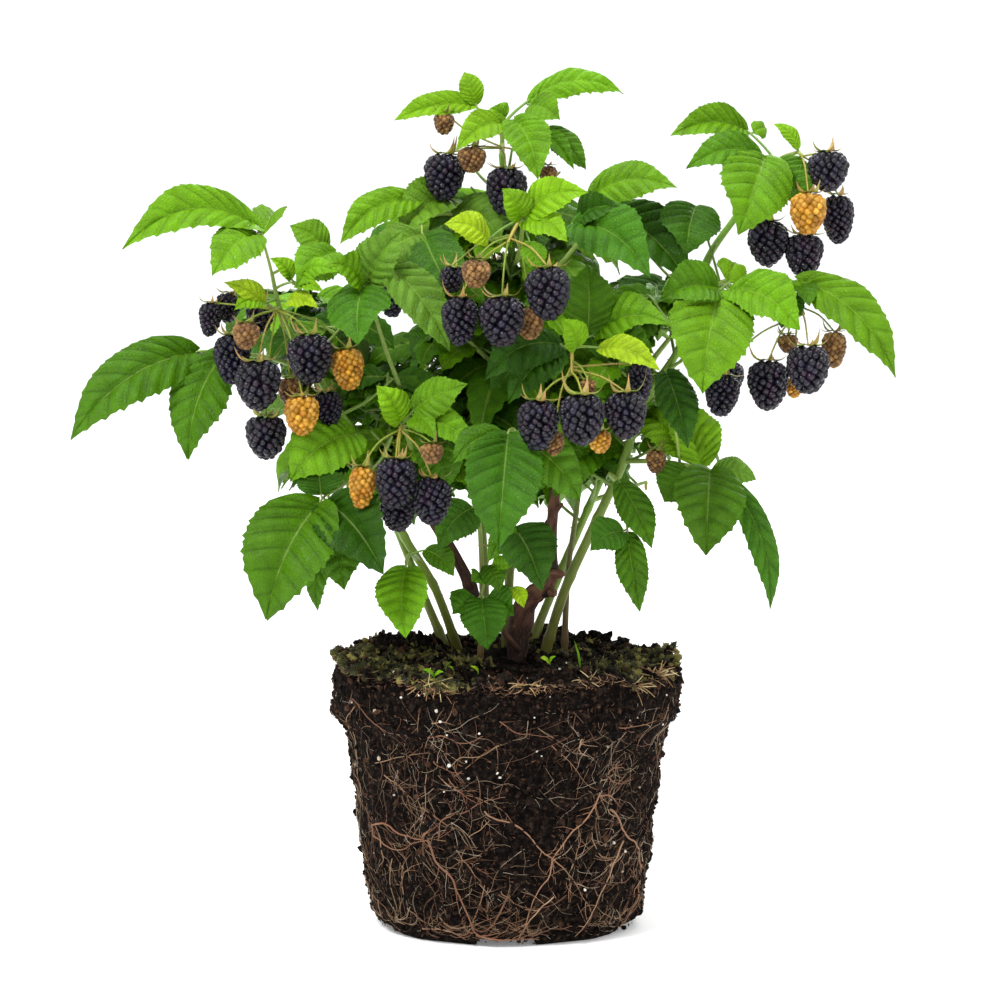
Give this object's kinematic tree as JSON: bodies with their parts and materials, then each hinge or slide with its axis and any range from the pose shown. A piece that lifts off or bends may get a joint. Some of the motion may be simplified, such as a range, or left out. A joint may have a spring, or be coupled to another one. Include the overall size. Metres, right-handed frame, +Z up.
{
  "type": "black raspberry bush on its root ball",
  "caption": "A fruiting black raspberry bush out of its pot, standing on its bare root ball, with arching canes, serrated leaves and hanging trusses of dark berries.",
  "frame": {"origin": "centre of the root ball's flat underside", "axes": "+Z up, +X to the right of the front view, -Y to the front, where most of the fruit hangs"},
  "size_m": [0.4041, 0.3181, 0.4272],
  "materials": {
    "soil": "matte",
    "bark": "matte",
    "cane": "satin",
    "foliage": "satin"
  },
  "bodies": {
    "root": {"root_ball": "soil", "stump": "bark", "old_cane_cut": "bark", "old_cane_left": "bark", "cane_left": "cane", "cane_right": "cane", "cane_centre": "cane", "young_cane": "cane", "young_shoot": "cane", "back_cane_left": "cane", "back_cane_right": "cane", "back_cane_middle": "cane", "left_arm_top": "foliage", "left_arm_low": "foliage", "left_shoulder": "foliage", "left_crown": "foliage", "top_spray": "foliage", "crown_front": "foliage", "crown_right": "foliage", "right_top": "foliage", "right_middle": "foliage", "right_low": "foliage", "centre_truss": "foliage", "centre_low": "foliage", "left_centre": "foliage", "left_low": "foliage", "left_foot": "foliage", "foot_leaves": "foliage", "shoot_leaf": "foliage", "right_foot": "foliage", "young_tip": "foliage", "heart_left": "foliage", "heart_right": "foliage", "heart_low": "foliage", "back_left_tip": "foliage", "back_left_low": "foliage", "back_right_tip": "foliage", "back_right_low": "foliage", "back_middle_tip": "foliage", "back_middle_low": "foliage"}
  },
  "joints": []
}
